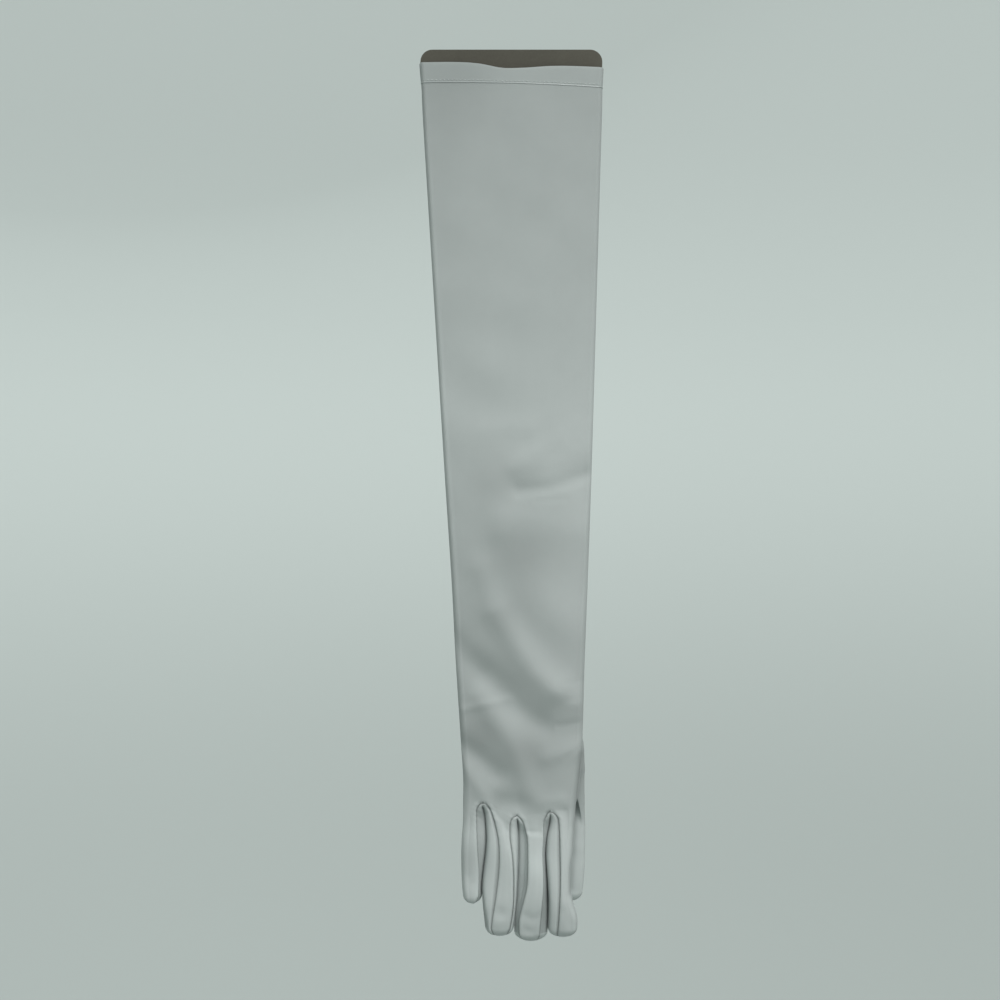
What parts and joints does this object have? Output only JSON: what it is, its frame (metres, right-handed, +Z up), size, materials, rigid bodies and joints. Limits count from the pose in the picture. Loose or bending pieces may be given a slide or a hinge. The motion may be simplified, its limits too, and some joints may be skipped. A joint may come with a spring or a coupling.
{
  "type": "bridal glove on a stiffener card",
  "caption": "Long satin glove with a hem, a set-in thumb and finger side strips, hung fingers down, with a flat card stiffening the arm.",
  "frame": {"origin": "middle of the arm opening at the top of the hem, half way between the back of the hand and the palm side, where the hanger clips hold the glove", "axes": "+Z up the arm, away from the fingers; +X from the little finger to the index finger; +Y out of the palm side"},
  "size_m": [0.1156, 0.0261, 0.56],
  "materials": {
    "satin": "smooth white stretch satin with a soft sheen",
    "hem_satin": "doubled white satin, stitched",
    "cardboard": "uncoated grey-brown card"
  },
  "bodies": {
    "root": {"trank": "satin", "fourchette_little_ring": "satin", "fourchette_ring_middle": "satin", "fourchette_middle_index": "satin", "thumb": "satin", "hem": "hem_satin", "stiffener_card": "cardboard"}
  },
  "joints": []
}
